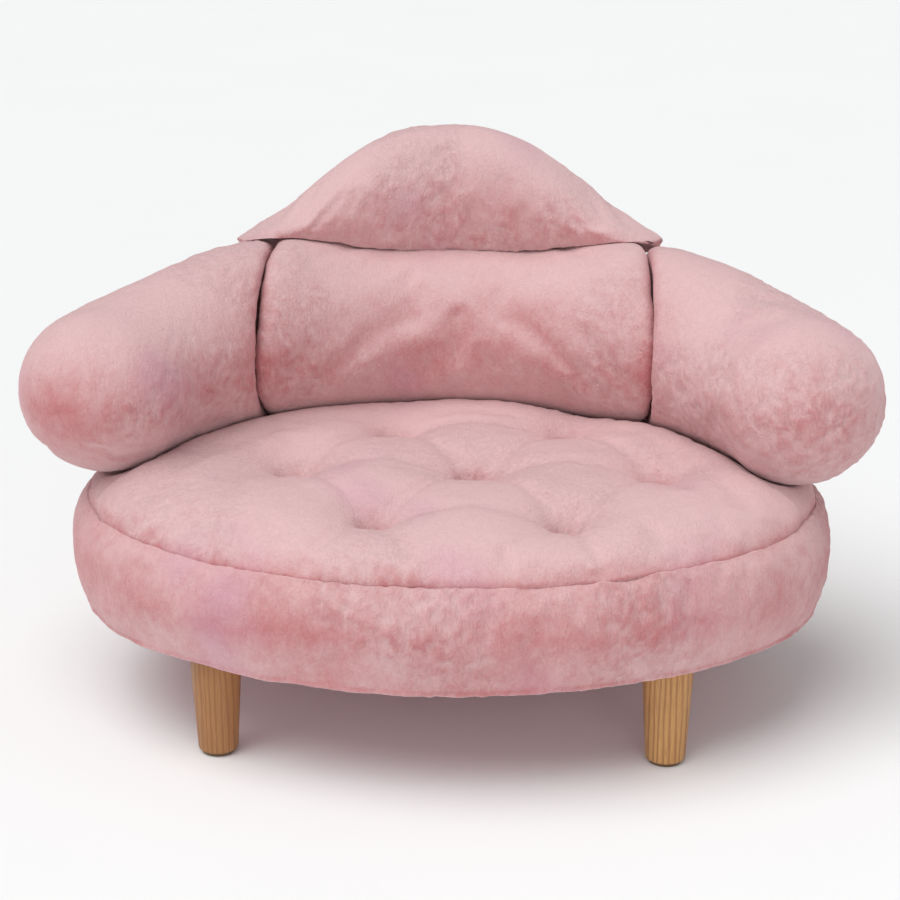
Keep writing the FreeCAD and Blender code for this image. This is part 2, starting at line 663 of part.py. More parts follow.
FOAM_TOP = f"({SEAT_TOP} - wadding_depth)"
ties = [cylinder(f"TieVoid{index}", "tie_radius + tie_hole_gap", BOARD_TOP, SEAT_TOP, x, y)
        for index, (x, y) in enumerate(TUFTS)]
soft_voids = joined("SeatVoids", [frame_void] + ties)
node(cut("FoamCore", oval_slab("FoamBlank", "foam_inset", BOARD_TOP, FOAM_TOP), soft_voids), "seat_foam_core")
foam_void = oval_slab("FoamVoid", "foam_inset - soft_gap", BOARD_TOP, f"{FOAM_TOP} + soft_gap")
board_void = oval_slab("BoardVoid", "board_inset - wood_gap", "seat_bottom", f"{BOARD_TOP}")
wadding_voids = joined("WaddingVoids", [foam_void, board_void, soft_voids]
                       + [cylinder(f"LegVoid_{name}", LEG_HOLE, "seat_bottom", BOARD_BOTTOM, x, y)
                          for name, (x, y) in LEGS.items()])
node(cut("Wadding", filling, wadding_voids), "seat_wadding")

TIE_TOP = f"({SEAT_TOP} - tuft_depth - fabric - soft_gap)"
WASHER_BOTTOM = f"({BOARD_BOTTOM} - tie_washer_thickness)"
node(group("TuftTies", [cylinder(f"Tie{index}", "tie_radius", WASHER_BOTTOM, TIE_TOP, x, y)
                        for index, (x, y) in enumerate(TUFTS)]), "tuft_ties")
node(group("TieWashers", [turned(f"TieWasher{index}", [("tie_radius + fit_gap", WASHER_BOTTOM),
                                                       ("tie_washer_radius", WASHER_BOTTOM),
                                                       ("tie_washer_radius", BOARD_BOTTOM),
                                                       ("tie_radius + fit_gap", BOARD_BOTTOM)], x, y)[0]
                          for index, (x, y) in enumerate(TUFTS)]), "tuft_washers")

# ---- bolster ----

INNER_RADIUS = "roll_radius - fabric"
FILL_RADIUS = "roll_radius - fabric - soft_gap"
for label, side in (("arm_{}_left", "left"), ("arm_{}_right", "right"), ("back_band_{}", "middle")):
    shell = cut(f"RollShell_{side}", roll_stretch(f"RollOuter_{side}", "roll_radius", side),
                roll_stretch(f"RollInner_{side}", INNER_RADIUS, side))
    node(cut(f"RollCover_{side}", shell, frame_void), label.format("cover"))
    blank = roll_stretch(f"RollFillBlank_{side}", FILL_RADIUS, side)
    node(cut(f"RollFill_{side}", blank, frame_void), label.format("fill"))

# ---- raised back ----

roll_void = whole_roll("RollVoid", "roll_radius + soft_gap")
node(cut("HumpCover", hump("HumpSkin", "0", "fabric"), roll_void), "hump_cover")
hump_voids = joined("HumpVoids", [roll_void, frame_void])
node(cut("HumpFill", hump("HumpFillBlank", "fabric + soft_gap"), hump_voids), "hump_fill")

# ---- zip ----

ROW_TOP = f"({ROW_BOTTOM} + zip_row_height)"
ROW_OUTER = "(zip_row_inner + zip_row_width)"
TAPE_BOTTOM = f"({ROW_TOP} - tape_thickness)"


def both_sides(name, x, inner, outer, z):
    """A pair of strips, one each side of the zip's middle line."""
    return [box(name + "Front", x, (f"{LEG_REACH} - {outer}", f"{LEG_REACH} - {inner}"), z),
            box(name + "Back", x, (f"{LEG_REACH} + {inner}", f"{LEG_REACH} + {outer}"), z)]


node(group("ZipTapes", both_sides("Tape", (f"-{ZIP_HALF} - tape_overrun", f"{ZIP_HALF} + tape_overrun"),
                                  ROW_OUTER, f"({ROW_OUTER} + tape_width)", (TAPE_BOTTOM, ROW_TOP))),
     "zip_tapes")
node(group("ZipRows", both_sides("Row", (f"-{ZIP_HALF}", ZIP_HALF), "zip_row_inner", ROW_OUTER,
                                 (ROW_BOTTOM, ROW_TOP))), "zip_teeth")
stop_y = (f"{LEG_REACH} - {ROW_OUTER}", f"{LEG_REACH} + {ROW_OUTER}")
left_stop = box("StopLeft", (f"-{ZIP_HALF} - stop_length", f"-{ZIP_HALF}"), stop_y, (ROW_BOTTOM, ROW_TOP))
right_stop = box("StopRight", (ZIP_HALF, f"{ZIP_HALF} + stop_length"), stop_y, (ROW_BOTTOM, ROW_TOP))
node(group("ZipStops", [left_stop, right_stop]), "zip_stops")

slider_x = (f"{SLIDER_REST} - slider_half_length", f"{SLIDER_REST} + slider_half_length")
slider_y = (f"{LEG_REACH} - slider_half_width", f"{LEG_REACH} + slider_half_width")
PLATE_TOP = f"({ROW_BOTTOM} - soft_gap)"
PLATE_BOTTOM = f"({ROW_BOTTOM} - soft_gap - slider_plate)"
ring_y = (f"{LEG_REACH} - pull_ring_thickness / 2", f"{LEG_REACH} + pull_ring_thickness / 2")
ring = cross_pin("SliderRing", "pull_ring_radius", "pull_ring_thickness / 2", SLIDER_REST, LEG_REACH,
                 PULL_AXIS)
slider_blank = joined("SliderBlank", [
    box("SliderLower", slider_x, slider_y, (PLATE_BOTTOM, PLATE_TOP)),
    box("SliderUpper", slider_x, slider_y, (f"{ROW_TOP} + soft_gap", f"{ROW_TOP} + soft_gap + slider_plate")),
    box("SliderRib", slider_x, (f"{LEG_REACH} - slider_rib / 2", f"{LEG_REACH} + slider_rib / 2"),
        (PLATE_BOTTOM, f"{ROW_TOP} + soft_gap + slider_plate")),
    box("SliderNeck", (f"{SLIDER_REST} - pull_ring_radius", f"{SLIDER_REST} + pull_ring_radius"),
        ring_y, (PULL_AXIS, PLATE_TOP)),
    ring])
slider_eye = cross_pin("SliderEye", "pull_pin_radius + fit_gap", "pull_ring_thickness", SLIDER_REST,
                       LEG_REACH, PULL_AXIS)
node(cut("ZipSlider", slider_blank, slider_eye), "zip_slider")

ARM_INNER = "(pull_ring_thickness / 2 + soft_gap)"
ARM_OUTER = "(pull_ring_thickness / 2 + soft_gap + pull_arm_width)"
pull_x = (f"{SLIDER_REST} - pull_thickness / 2", f"{SLIDER_REST} + pull_thickness / 2")
arm_z = (f"{PULL_AXIS} - pull_arm_length", PULL_AXIS)
node(joined("ZipPull", both_sides("PullArm", pull_x, ARM_INNER, ARM_OUTER, arm_z) + [
    cross_pin("PullPin", "pull_pin_radius", ARM_OUTER, SLIDER_REST, LEG_REACH, PULL_AXIS),
    box("PullTab", pull_x, (f"{LEG_REACH} - pull_half_width", f"{LEG_REACH} + pull_half_width"),
        (f"{PULL_AXIS} - pull_arm_length - pull_length", f"{PULL_AXIS} - pull_arm_length"))]), "zip_pull")

# ---- checks and export ----

doc.recompute()
for item in doc.Objects:
    if {"Invalid", "Error"} & set(item.State):
        raise RuntimeError(f"{item.Label} failed: {item.State}")
for item in parts:
    if item.Shape.isNull() or not item.Shape.isValid() or not item.Shape.Solids:
        raise RuntimeError(f"{item.Label} has no valid solid")
os.makedirs("parts", exist_ok=True)
for item in parts:
    item.Shape.exportStep(f"parts/{item.Label}.step")
    extent = item.Shape.BoundBox
    print(f"{item.Label}: {len(item.Shape.Solids)} solids, volume {item.Shape.Volume / 1000:.1f} cm3,",
          f"x {extent.XMin:.1f} {extent.XMax:.1f}, y {extent.YMin:.1f} {extent.YMax:.1f},",
          f"z {extent.ZMin:.1f} {extent.ZMax:.1f}")
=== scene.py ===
import json
import math

import bmesh
import bpy
import numpy as np
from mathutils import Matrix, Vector


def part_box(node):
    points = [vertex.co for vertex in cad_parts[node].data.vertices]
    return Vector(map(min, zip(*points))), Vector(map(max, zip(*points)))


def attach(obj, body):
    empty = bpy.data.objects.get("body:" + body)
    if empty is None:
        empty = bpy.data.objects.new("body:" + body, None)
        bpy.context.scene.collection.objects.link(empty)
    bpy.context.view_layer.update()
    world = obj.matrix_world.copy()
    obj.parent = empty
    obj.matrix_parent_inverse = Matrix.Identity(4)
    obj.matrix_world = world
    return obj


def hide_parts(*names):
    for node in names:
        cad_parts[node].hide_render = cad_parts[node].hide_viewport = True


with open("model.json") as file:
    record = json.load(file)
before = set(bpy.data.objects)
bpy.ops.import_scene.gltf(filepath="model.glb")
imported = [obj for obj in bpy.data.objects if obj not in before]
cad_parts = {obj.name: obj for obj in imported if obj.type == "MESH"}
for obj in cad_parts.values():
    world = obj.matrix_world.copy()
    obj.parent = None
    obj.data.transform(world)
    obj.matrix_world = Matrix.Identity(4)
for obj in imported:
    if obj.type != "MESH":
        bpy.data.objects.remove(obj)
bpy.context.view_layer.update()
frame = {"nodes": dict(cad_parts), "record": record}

# ---------------------------------------------------------------- places read from the frame

BAND_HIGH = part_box("seat_side_band")[1]
UNDER_LOW, UNDER_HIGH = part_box("underside_panel")
ARM_LOW, ARM_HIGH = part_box("arm_cover_right")
BACK_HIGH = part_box("back_band_cover")[1]
HUMP_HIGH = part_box("hump_cover")[1]

SEAT_A = BAND_HIGH[0]            # half width of the seat's oval
SEAT_B = BAND_HIGH[1]            # half depth
END_CENTRE = 0.111               # from the middle to the centre of each round end
SEAT_END = SEAT_A - END_CENTRE   # radius of the oval's round ends
SEAM_Z = BAND_HIGH[2]            # height of the seam round the top panel
UNDER_Z = UNDER_LOW[2]

PILE_ROOM = 0.0015               # left between the smooth shapes and the CAD solids for the pile
ROLL_R = (ARM_HIGH[2] - ARM_LOW[2]) / 2 - PILE_ROOM
ROLL_Z = (ARM_HIGH[2] + ARM_LOW[2]) / 2
END_X = ARM_HIGH[0] - ROLL_R - PILE_ROOM
END_Y = ARM_LOW[1] + ROLL_R + PILE_ROOM
BACK_Y = BACK_HIGH[1] - ROLL_R - PILE_ROOM
PATH_R = (END_X ** 2 + (BACK_Y - END_Y) ** 2) / (2 * (BACK_Y - END_Y))
PATH_Y = BACK_Y - PATH_R
END_ANGLE = math.atan2(END_X, END_Y - PATH_Y)
SEAM_X = (ARM_LOW[0] + BACK_HIGH[0]) / 2

CELL = 0.005                     # mesh spacing before the last subdivision
SEAM_INSET = 0.0095              # how far the top panel's seam stands inside the oval
SEAM_GAP = 0.0006                # between each end of the band or an arm and their flat seam
TURN_IN = 0.02                   # how far a sewn end turns in towards the roll's axis
LEG_GAP = 0.0015                 # round each leg in the underside cloth
ZIP_SLOT = 0.009                 # width of the slot for the zip
CUT_DEPTH = 0.03                 # height of the shapes that cut the cloth
SWELL_FRAMES = 20                # length of the cloth simulation


def islands(node):
    """Middle of each separate solid in a CAD node, from left to right."""
    mesh = bmesh.new()
    mesh.from_mesh(frame["nodes"][node].data)
    left = set(mesh.verts)
    middles = []
    while left:
        stack, island = [left.pop()], []
        while stack:
            vert = stack.pop()
            island.append(vert.co.copy())
            for edge in vert.link_edges:
                other = edge.other_vert(vert)
                if other in left:
                    left.discard(other)
                    stack.append(other)
        low = Vector([min(point[axis] for point in island) for axis in range(3)])
        high = Vector([max(point[axis] for point in island) for axis in range(3)])
        middles.append((low + high) / 2)
    mesh.free()
    unique = []
    for middle in sorted(middles, key=lambda place: (round(place.x, 3), round(place.y, 3))):
        if all((middle - kept).length > 0.004 for kept in unique):
            unique.append(middle)
    return unique


TUFTS = np.array([[place.x, place.y] for place in islands("tuft_washers")])

# ---------------------------------------------------------------- numbers: smooth steps and noise


def smooth(low, high, x):
    """0 below low, 1 above high, smooth between."""
    t = np.clip((np.asarray(x, float) - low) / (high - low), 0, 1)
    return t * t * (3 - 2 * t)


def lattice(points, size, seed):
    """Smooth noise from -1 to 1 with features of about one size, at points (n, 3)."""
    p = np.asarray(points, float) / size + seed * 17.31
    cell = np.floor(p).astype(np.int64)
    part = p - cell
    part = part * part * part * (part * (part * 6 - 15) + 10)
    total = np.zeros(len(p))
    for corner in range(8):
        bits = np.array([corner >> axis & 1 for axis in range(3)])
        key = cell + bits
        mixed = (key[:, 0] * 73856093) ^ (key[:, 1] * 19349663) ^ (key[:, 2] * 83492791) ^ (seed * 2654435)
        mixed = (mixed ^ (mixed >> 13)) * 1274126177 & 0x7FFFFFFF
        mixed = (mixed ^ (mixed >> 15)) & 0xFFFF
        weight = np.prod(np.where(bits, part, 1 - part), axis=1)
        total += weight * (mixed / 32767.5 - 1)
    return total


def warped(points, size, seed, bend=0.8):
    """Noise whose places are pushed about by slower noise, so that it swirls like brushed pile."""
    push = np.stack([lattice(points, size * 2.5, seed + axis + 1) for axis in range(3)], axis=1)
    return lattice(points + push * size * bend, size, seed)


# ---------------------------------------------------------------- mesh building


def new_object(name, verts, faces):
    mesh = bpy.data.meshes.new(name)
    mesh.from_pydata([tuple(v) for v in verts], [], faces)
    mesh.validate()
    obj = bpy.data.objects.new(name, mesh)
    bpy.context.scene.collection.objects.link(obj)
    shade_smooth(obj)
    return obj


def shade_smooth(obj):
    obj.data.polygons.foreach_set("use_smooth", [True] * len(obj.data.polygons))


def ring_mesh(name, rings):
    """A closed skin through rings of equal length, each (n, 3); the first and last are closed to a point."""
    rings = [np.asarray(ring) for ring in rings]
    count = len(rings[0])
    verts = np.concatenate(rings)
    faces = []
    for row in range(len(rings) - 1):
        a, b = row * count, (row + 1) * count
        for k in range(count):
            n = (k + 1) % count
            faces.append((a + k, a + n, b + n, b + k))
    first, last = len(verts), len(verts) + 1
    verts = np.vstack([verts, rings[0].mean(axis=0), rings[-1].mean(axis=0)])
    base = (len(rings) - 1) * count
    for k in range(count):
        n = (k + 1) % count
        faces.append((first, n, k))
        faces.append((last, base + k, base + n))
    return new_object(name, verts, faces)


def coords(obj):
    flat = np.empty(len(obj.data.vertices) * 3)
    obj.data.vertices.foreach_get("co", flat)
    return flat.reshape(-1, 3)


def normals(obj):
    flat = np.empty(len(obj.data.vertices) * 3)
    obj.data.vertices.foreach_get("normal", flat)
    return flat.reshape(-1, 3)


def set_coords(obj, points):
    obj.data.vertices.foreach_set("co", np.ascontiguousarray(points).ravel())
    obj.data.update()


def face_out(obj):
    mesh = bmesh.new()
    mesh.from_mesh(obj.data)
    bmesh.ops.recalc_face_normals(mesh, faces=mesh.faces)
    mesh.to_mesh(obj.data)
    mesh.free()


def apply_modifiers(obj):
    graph = bpy.context.evaluated_depsgraph_get()
    mesh = bpy.data.meshes.new_from_object(obj.evaluated_get(graph))
    old = obj.data
    obj.modifiers.clear()
    obj.data = mesh
    mesh.name = old.name
    bpy.data.meshes.remove(old)
    shade_smooth(obj)


def subdivide(obj):
    modifier = obj.modifiers.new("Subdivision", "SUBSURF")
    modifier.levels = modifier.render_levels = 1
    apply_modifiers(obj)


def puff(obj, held, cap, pressure=4.0, slack=0.0):
    """Blow the cover up a little by cloth simulation. held gives how firmly each point is sewn down."""
    before = coords(obj)
    group = obj.vertex_groups.new(name="sewn")
    for step in range(11):
        chosen = np.nonzero(np.round(held * 10) == step)[0].tolist()
        if chosen:
            group.add(chosen, step / 10, "REPLACE")
    cloth = obj.modifiers.new("Cloth", "CLOTH")
    settings = cloth.settings
    settings.quality = 4
    settings.mass = 0.25
    settings.tension_stiffness = settings.compression_stiffness = 12
    settings.shear_stiffness = 6
    settings.bending_stiffness = 1.5
    settings.use_pressure = True
    settings.uniform_pressure_force = pressure
    settings.effector_weights.gravity = 0
    settings.vertex_group_mass = "sewn"
    settings.shrink_min = -slack
    cloth.collision_settings.use_collision = False
    cloth.point_cache.frame_start, cloth.point_cache.frame_end = 1, SWELL_FRAMES
    scene = bpy.context.scene
    for step in range(1, SWELL_FRAMES + 1):
        scene.frame_set(step)
    graph = bpy.context.evaluated_depsgraph_get()
    after = np.empty(before.size)
    obj.evaluated_get(graph).data.vertices.foreach_get("co", after)
    obj.modifiers.clear()
    obj.vertex_groups.clear()
    move = after.reshape(-1, 3) - before
    length = np.linalg.norm(move, axis=1, keepdims=True)
    move *= np.minimum(1, cap / np.maximum(length, 1e-9))
    scene.frame_set(1)
    set_coords(obj, before + move)


# ---------------------------------------------------------------- outlines


def oval(inset, count):
    """Points round the seat's oval, moved inwards, evenly spaced, from the right end round by the back."""
    a, b, end = SEAT_A - inset, SEAT_B - inset, SEAT_END - inset
    side = ((a - end) ** 2 + b ** 2 - end ** 2) / (2 * (b - end))
    meet = math.atan2(side - b, a - end)
    spans = [(a - end, 0, end, -meet, meet), (0, b - side, side, meet, math.pi - meet),
             (end - a, 0, end, math.pi - meet, math.pi + meet),
             (0, side - b, side, math.pi + meet, 2 * math.pi - meet)]
    lengths = np.cumsum([0] + [radius * (stop - start) for _, _, radius, start, stop in spans])
    where = (np.arange(count) / count * lengths[-1] + lengths[1] / 2) % lengths[-1]
    points = np.empty((count, 2))
    for (x, y, radius, start, stop), low, high in zip(spans, lengths[:-1], lengths[1:]):
        inside = (where >= low) & (where < high)
        angle = start + (where[inside] - low) / radius
        points[inside] = np.stack([x + radius * np.cos(angle), y + radius * np.sin(angle)], axis=1)
    return points


def shoulder(angle):
    """How far the roll's top stands above its axis at an angle from straight back."""
    away = np.abs(np.degrees(angle))
    return 0.0735 + 0.0185 * smooth(8, 33, away) - 0.0240 * smooth(33, 67.5, away)


def roll_point(angle, around, shrink=0.0):
    """A point on the bolster: around is 0 outwards from the sofa's middle and 90 degrees on top."""
    rise = np.where(np.sin(around) > 0, shoulder(angle), ROLL_R) - shrink
    radial = PATH_R + (ROLL_R - shrink) * np.cos(around)
    return np.stack([radial * np.sin(angle), PATH_Y + radial * np.cos(angle),
                     ROLL_Z + rise * np.sin(around)], axis=-1)


def from_seam(points):
    """Distance of points from the nearer of the two seams, positive on the arms."""
    return np.abs(points[:, 0]) - SEAM_X


def roll_section(x, y):
    """How far points are from the roll's path in plan, and their angle along it."""
    angle = np.arctan2(x, y - PATH_Y)
    along = np.abs(np.hypot(x, y - PATH_Y) - PATH_R)
    to_end = np.hypot(np.abs(x) - END_X, y - END_Y)
    return np.where(np.abs(angle) < END_ANGLE, along, to_end), np.clip(angle, -END_ANGLE, END_ANGLE)


def to_segment(points, start, end):
    """Distance of points (n, 2) from a segment, and how far along it they are."""
    run = end - start
    along = np.clip(((points - start) @ run) / (run @ run), 0, 1)
    return np.hypot(*(points - start - along[:, None] * run).T), along


# ---------------------------------------------------------------- seat


def seat_top_height(points, depth):
    """Height of the seat's top panel at plan points, given how far they are inside its seam."""
    height = SEAM_Z + 0.036 * (1 - np.exp(-depth / 0.0226))
    nearest = np.sort([np.hypot(*(points - tuft).T) for tuft in TUFTS], axis=0)
    height -= 0.021 * np.exp(-(nearest[0] / 0.020) ** 1.25)
    height -= 0.004 * np.exp(-(nearest[0] / 0.055) ** 2)
    links = []
    for i, first in enumerate(TUFTS):
        for second in TUFTS[i + 1:]:
            if np.hypot(*(second - first)) < 0.19:
                links.append((first, second, 1.0))
    for tuft in TUFTS:
        if tuft[1] < TUFTS[:, 1].min() + 0.02:
            for sway in (-0.045, 0.03):
                links.append((tuft, tuft + np.array([sway, -0.062]), 0.55))
    for first, second, strength in links:
        away, along = to_segment(points, first, second)
        waist = 1 - 0.45 * np.sin(math.pi * along)
        height -= 0.0052 * strength * waist * np.exp(-(away / 0.0085) ** 2)
    away, _ = roll_section(points[:, 0], points[:, 1])
    bed = np.where(away < ROLL_R, ROLL_Z - np.sqrt(np.maximum(ROLL_R ** 2 - away ** 2, 0)) - 0.0025, 9)
    mound = 0.004 * np.exp(-((away - ROLL_R * 0.8) / 0.022) ** 2)
    return np.minimum(height + np.where(away > ROLL_R * 0.75, mound, 0), bed)


def disc_grid(steps):
    """A square grid bent into a disc of radius 1, so that no point has more than four neighbours."""
    u, v = np.meshgrid(np.linspace(-1, 1, steps + 1), np.linspace(-1, 1, steps + 1))
    u, v = u.ravel(), v.ravel()
    points = np.stack([u * np.sqrt(1 - v * v / 2), v * np.sqrt(1 - u * u / 2)], axis=1)
    row = steps + 1
    faces = [(i * row + j, i * row + j + 1, (i + 1) * row + j + 1, (i + 1) * row + j)
             for i in range(steps) for j in range(steps)]
    return points, faces


def oval_reach(direction, inset):
    """How far the seat's outline is from the middle in each direction."""
    rim = oval(inset, 2000)
    turn = np.arctan2(rim[:, 1], rim[:, 0])
    order = np.argsort(turn)
    return np.interp(direction, turn[order], np.hypot(*rim.T)[order], period=2 * math.pi)


def close_below(obj, height):
    """Close an open skin downwards with a flat bottom."""
    mesh = bmesh.new()
    mesh.from_mesh(obj.data)
    rim = [edge for edge in mesh.edges if edge.is_boundary]
    for scale in (0.93, 0.6, 0.25):
        made = bmesh.ops.extrude_edge_only(mesh, edges=rim)["geom"]
        rim = [item for item in made if isinstance(item, bmesh.types.BMEdge)]
        for vert in {vert for edge in rim for vert in edge.verts}:
            reach = math.hypot(vert.co.x, vert.co.y)
            wanted = scale * float(oval_reach(math.atan2(vert.co.y, vert.co.x), 0.03))
            vert.co = (vert.co.x / reach * wanted, vert.co.y / reach * wanted, height)
    bmesh.ops.holes_fill(mesh, edges=rim)
    bmesh.ops.recalc_face_normals(mesh, faces=mesh.faces)
    mesh.to_mesh(obj.data)
    mesh.free()
    shade_smooth(obj)


def build_seat_top():
    """The tufted top panel: a pillow that bulges from its seam and is pulled down at each tie."""
    disc, faces = disc_grid(int(2 * SEAT_A / 0.0056))
    radius = np.hypot(*disc.T)
    direction = np.arctan2(disc[:, 1], disc[:, 0])
    edge = 0.955
    reach = oval_reach(direction, SEAM_INSET)
    spread = np.minimum(radius / edge, 1)
    wrap = np.clip((radius - edge) / (1 - edge), 0, 1)
    plan = disc / np.maximum(radius, 1e-9)[:, None] * (reach * spread - 0.022 * wrap ** 1.6)[:, None]
    height = np.where(wrap > 0, SEAM_Z - 0.012 * np.sin(wrap * math.pi / 2),
                      seat_top_height(plan, reach * (1 - spread)))
    obj = new_object("seat_top", np.column_stack([plan, height]), faces)
    face_out(obj)
    if normals(obj)[len(disc) // 2][2] < 0:
        obj.data.flip_normals()
    points = coords(obj)
    depth = np.interp(points[:, 2], [SEAM_Z - 0.001, SEAM_Z + 0.008], [1, 0])
    nearest = np.min([np.hypot(*(points[:, :2] - tuft).T) for tuft in TUFTS], axis=0)
    away, _ = roll_section(points[:, 0], points[:, 1])
    tied, pressed = 1 - smooth(0.004, 0.016, nearest), 1 - smooth(ROLL_R, ROLL_R + 0.02, away)
    held = np.maximum.reduce([depth, tied, pressed])
    puff(obj, held, 0.006, pressure=3.0, slack=0.012)
    subdivide(obj)
    close_below(obj, SEAM_Z - 0.0135)
    return obj


BAND_PROFILE = [(0.0868, 0.0102), (0.0872, 0.0072), (0.0886, 0.0052), (0.0902, 0.0058), (0.0916, 0.0072),
                (0.0934, 0.0060), (0.0965, 0.0040), (0.103, 0.0018), (0.113, 0.0004),
                (0.126, -0.0004), (0.142, -0.0004), (0.155, 0.0006), (0.164, 0.0028), (0.170, 0.0058),
                (0.1745, 0.0100)]


def build_seat_band():
    """The band round the seat, between the two seams."""
    count = int(1.78 / CELL)
    heights, insets = np.array(BAND_PROFILE).T
    run = np.concatenate([[0], np.cumsum(np.hypot(np.diff(heights), np.diff(insets)))])
    at = run[-1] * (0.5 - 0.5 * np.cos(np.linspace(0, math.pi, 27)))
    outside = list(zip(np.interp(at, run, heights), np.interp(at, run, insets)))
    inside = [(heights[-1] - 0.001, 0.019), (heights[-1] - 0.012, 0.030),
              ((heights[0] + heights[-1]) / 2, 0.034),
              (heights[0] + 0.012, 0.032), (heights[0] - 0.001, 0.020)]
    section = outside + inside
    rings = [np.column_stack([oval(inset, count), np.full(count, height)]) for height, inset in section]
    rings = [np.stack([ring[k] for ring in rings]) for k in range(count)]
    verts = np.concatenate(rings)
    size = len(section)
    faces = [(k * size + j, (k + 1) % count * size + j, (k + 1) % count * size + (j + 1) % size,
              k * size + (j + 1) % size) for k in range(count) for j in range(size)]
    obj = new_object("seat_band", verts, faces)
    face_out(obj)
    points = coords(obj)
    reach = np.maximum(smooth(SEAM_Z - 0.008, SEAM_Z - 0.002, points[:, 2]),
                       1 - smooth(heights[0], heights[0] + 0.008, points[:, 2]))
    inner = smooth(0.014, 0.018, seat_inset(points))
    puff(obj, np.maximum(reach, inner), 0.004, pressure=2.5, slack=0.014)
    subdivide(obj)
    return obj


def build_underside():
    """The cloth under the seat, stretched flat, with an opening for each leg and a slot for the zip."""
    disc, faces = disc_grid(90)
    radius = np.hypot(*disc.T)
    reach = oval_reach(np.arctan2(disc[:, 1], disc[:, 0]), 0.0098)
    plan = disc * reach[:, None]
    depth = reach * (1 - radius)
    flat = np.column_stack([plan, np.zeros(len(disc))])
    height = UNDER_Z + 0.0008 + 0.0032 * (1 - smooth(0, 0.016, depth))
    height += 0.0003 * lattice(flat, 0.06, 41) + 0.00015 * lattice(flat, 0.02, 43)
    obj = new_object("seat_underside", np.column_stack([plan, height]), faces)
    mesh = bmesh.new()
    mesh.from_mesh(obj.data)
    area = sum(face.calc_area() for face in mesh.faces)
    bmesh.ops.recalc_face_normals(mesh, faces=mesh.faces)
    mesh.faces.ensure_lookup_table()
    if mesh.faces[0].normal.z > 0:
        bmesh.ops.reverse_faces(mesh, faces=mesh.faces)
    mesh.to_mesh(obj.data)
    mesh.free()
    thick = obj.modifiers.new("Thickness", "SOLIDIFY")
    thick.thickness, thick.offset = 0.001, -1
    apply_modifiers(obj)
    for leg in ("front_left", "front_right", "rear_left", "rear_right"):
        low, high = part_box(f"leg_{leg}")
        middle = ((low[0] + high[0]) / 2, (low[1] + high[1]) / 2, UNDER_Z)
        hole = (high[0] - low[0]) / 2 + LEG_GAP
        tool = bmesh.new()
        bmesh.ops.create_cone(tool, cap_ends=True, segments=48, radius1=hole, radius2=hole, depth=CUT_DEPTH)
        bmesh.ops.translate(tool, verts=tool.verts, vec=middle)
        cut_out(obj, tool)
        area -= math.pi * hole ** 2
    low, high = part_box("zip_stops")
    tool = bmesh.new()
    bmesh.ops.create_cube(tool, size=1)
    size = (high[0] - low[0], ZIP_SLOT, CUT_DEPTH)
    bmesh.ops.scale(tool, verts=tool.verts, vec=size)
    bmesh.ops.translate(tool, verts=tool.verts, vec=(0, (low[1] + high[1]) / 2, UNDER_Z))
    cut_out(obj, tool)
    return obj, area - size[0] * size[1]


def cut_out(obj, tool):
    """Cut a shape out of a piece."""
    mesh = bpy.data.meshes.new("tool")
    tool.to_mesh(mesh)
    tool.free()
    cutter = bpy.data.objects.new("tool", mesh)
    bpy.context.scene.collection.objects.link(cutter)
    modifier = obj.modifiers.new("Cut", "BOOLEAN")
    modifier.operation, modifier.object, modifier.solver = "DIFFERENCE", cutter, "EXACT"
    apply_modifiers(obj)
    bpy.data.objects.remove(cutter)
    bpy.data.meshes.remove(mesh)


def build_zip_coils():
    """The zip's two coiled rows, each a fine helix."""
    low, high = (Vector(corner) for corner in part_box("zip_teeth"))
    pitch, wire, sides, per_turn = 0.0016, 0.00028, 5, 10
    turns = int((high.x - low.x - 2 * wire) / pitch)
    step = np.arange(turns * per_turn + 1)
    turn = step * 2 * math.pi / per_turn
    coil = (high.z - low.z) / 2 - wire
    verts, faces = [], []
    for side in (-1, 1):
        middle = (low.y + high.y) / 2 + side * ((high.y - low.y) / 2 - coil - wire)
        out = np.stack([np.zeros(len(step)), side * np.cos(turn), np.sin(turn)], axis=1)
        line = out * coil + np.stack([low.x + wire + step * pitch / per_turn, np.full(len(step), middle),
                                      np.full(len(step), (low.z + high.z) / 2)], axis=1)
        tangent = np.gradient(line, axis=0)
        tangent /= np.linalg.norm(tangent, axis=1, keepdims=True)
        across = np.cross(tangent, out)
        base = len(verts)
        angles = [2 * math.pi * k / sides for k in range(sides)]
        edges = [line + wire * (math.cos(angle) * out + math.sin(angle) * across) for angle in angles]
        verts.extend(np.stack(edges, axis=1).reshape(-1, 3))
        for i in range(len(step) - 1):
            for k in range(sides):
                n = (k + 1) % sides
                a = base + i * sides
                faces.append((a + k, a + n, a + sides + n, a + sides + k))
        faces.append(tuple(base + k for k in range(sides)))
        faces.append(tuple(base + (len(step) - 1) * sides + k for k in reversed(range(sides))))
    obj = new_object("zip_coils", verts, faces)
    face_out(obj)
    return obj


def seat_inset(points):
    """How far points are inside the seat's oval, in plan."""
    x, y = np.abs(points[:, 0]), np.abs(points[:, 1])
    reach = SEAT_A - SEAT_END
    side = (reach ** 2 + SEAT_B ** 2 - SEAT_END ** 2) / (2 * (SEAT_B - SEAT_END))
    at_end = np.arctan2(y, x - reach) < math.atan2(side - SEAT_B, reach)
    return np.where(at_end, SEAT_END - np.hypot(x - reach, y), side - np.hypot(x, y + side - SEAT_B))


# ---------------------------------------------------------------- bolster


def lip(edge):
    """How much a sewn end pulls in, at a distance from its seam."""
    return 0.0052 * np.exp(-edge / 0.0045) + 0.0022 * np.exp(-edge / 0.02)


def around_roll():
    return np.linspace(0, 2 * math.pi, int(2 * math.pi * 0.078 / CELL), endpoint=False)


